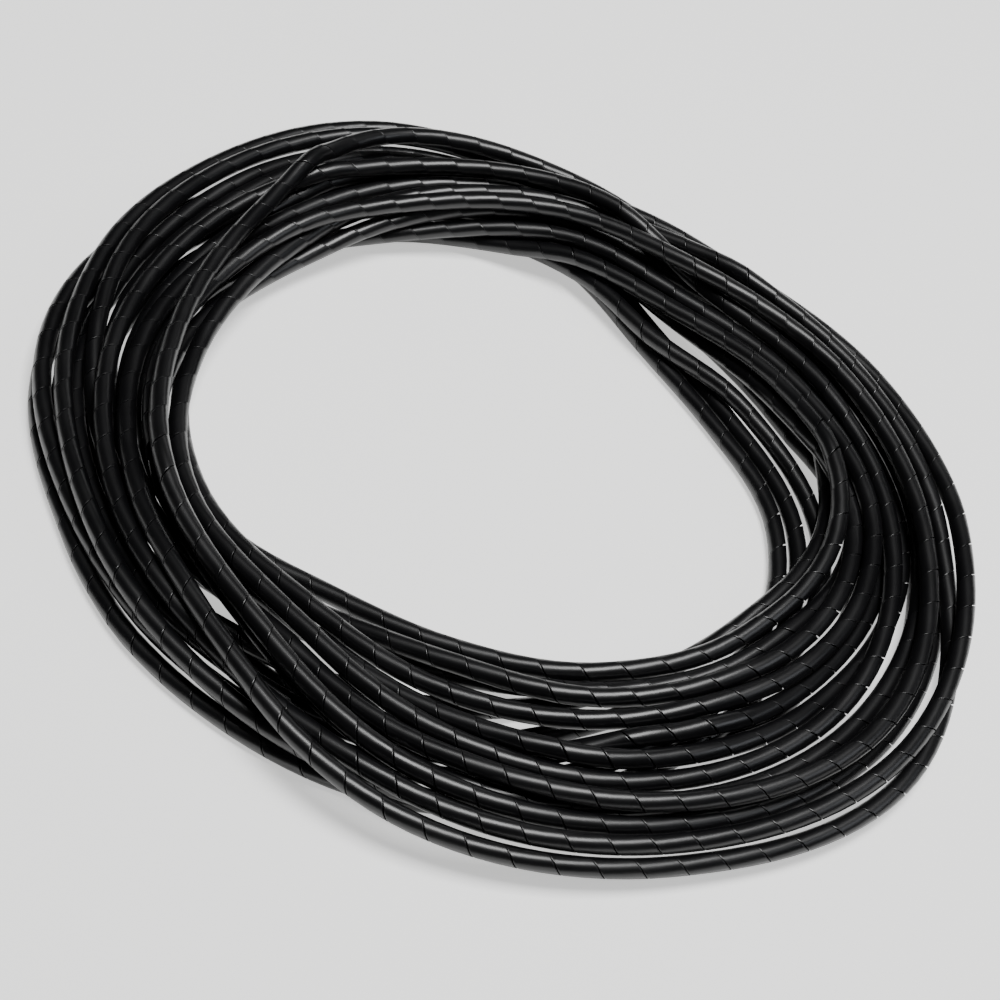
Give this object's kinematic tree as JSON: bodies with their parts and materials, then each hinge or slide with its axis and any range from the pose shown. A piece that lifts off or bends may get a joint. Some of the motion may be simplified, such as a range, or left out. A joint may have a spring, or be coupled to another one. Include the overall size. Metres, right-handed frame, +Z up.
{
  "type": "spiral cable wrap",
  "caption": "Loose flat coil of black polyethylene spiral cable wrap: a thin tube cut right through along a helix, about 13.3 m of it laid in many overlapping oval turns.",
  "frame": {"origin": "middle of the coil's outline, on the floor it lies on", "axes": "+Z up from the floor, +X along the oval coil's long way, +Y across it"},
  "size_m": [0.3072, 0.2907, 0.0303],
  "materials": {
    "black_polyethylene": "satin"
  },
  "bodies": {
    "root": {"spiral_wrap_strand": "black_polyethylene"}
  },
  "joints": []
}
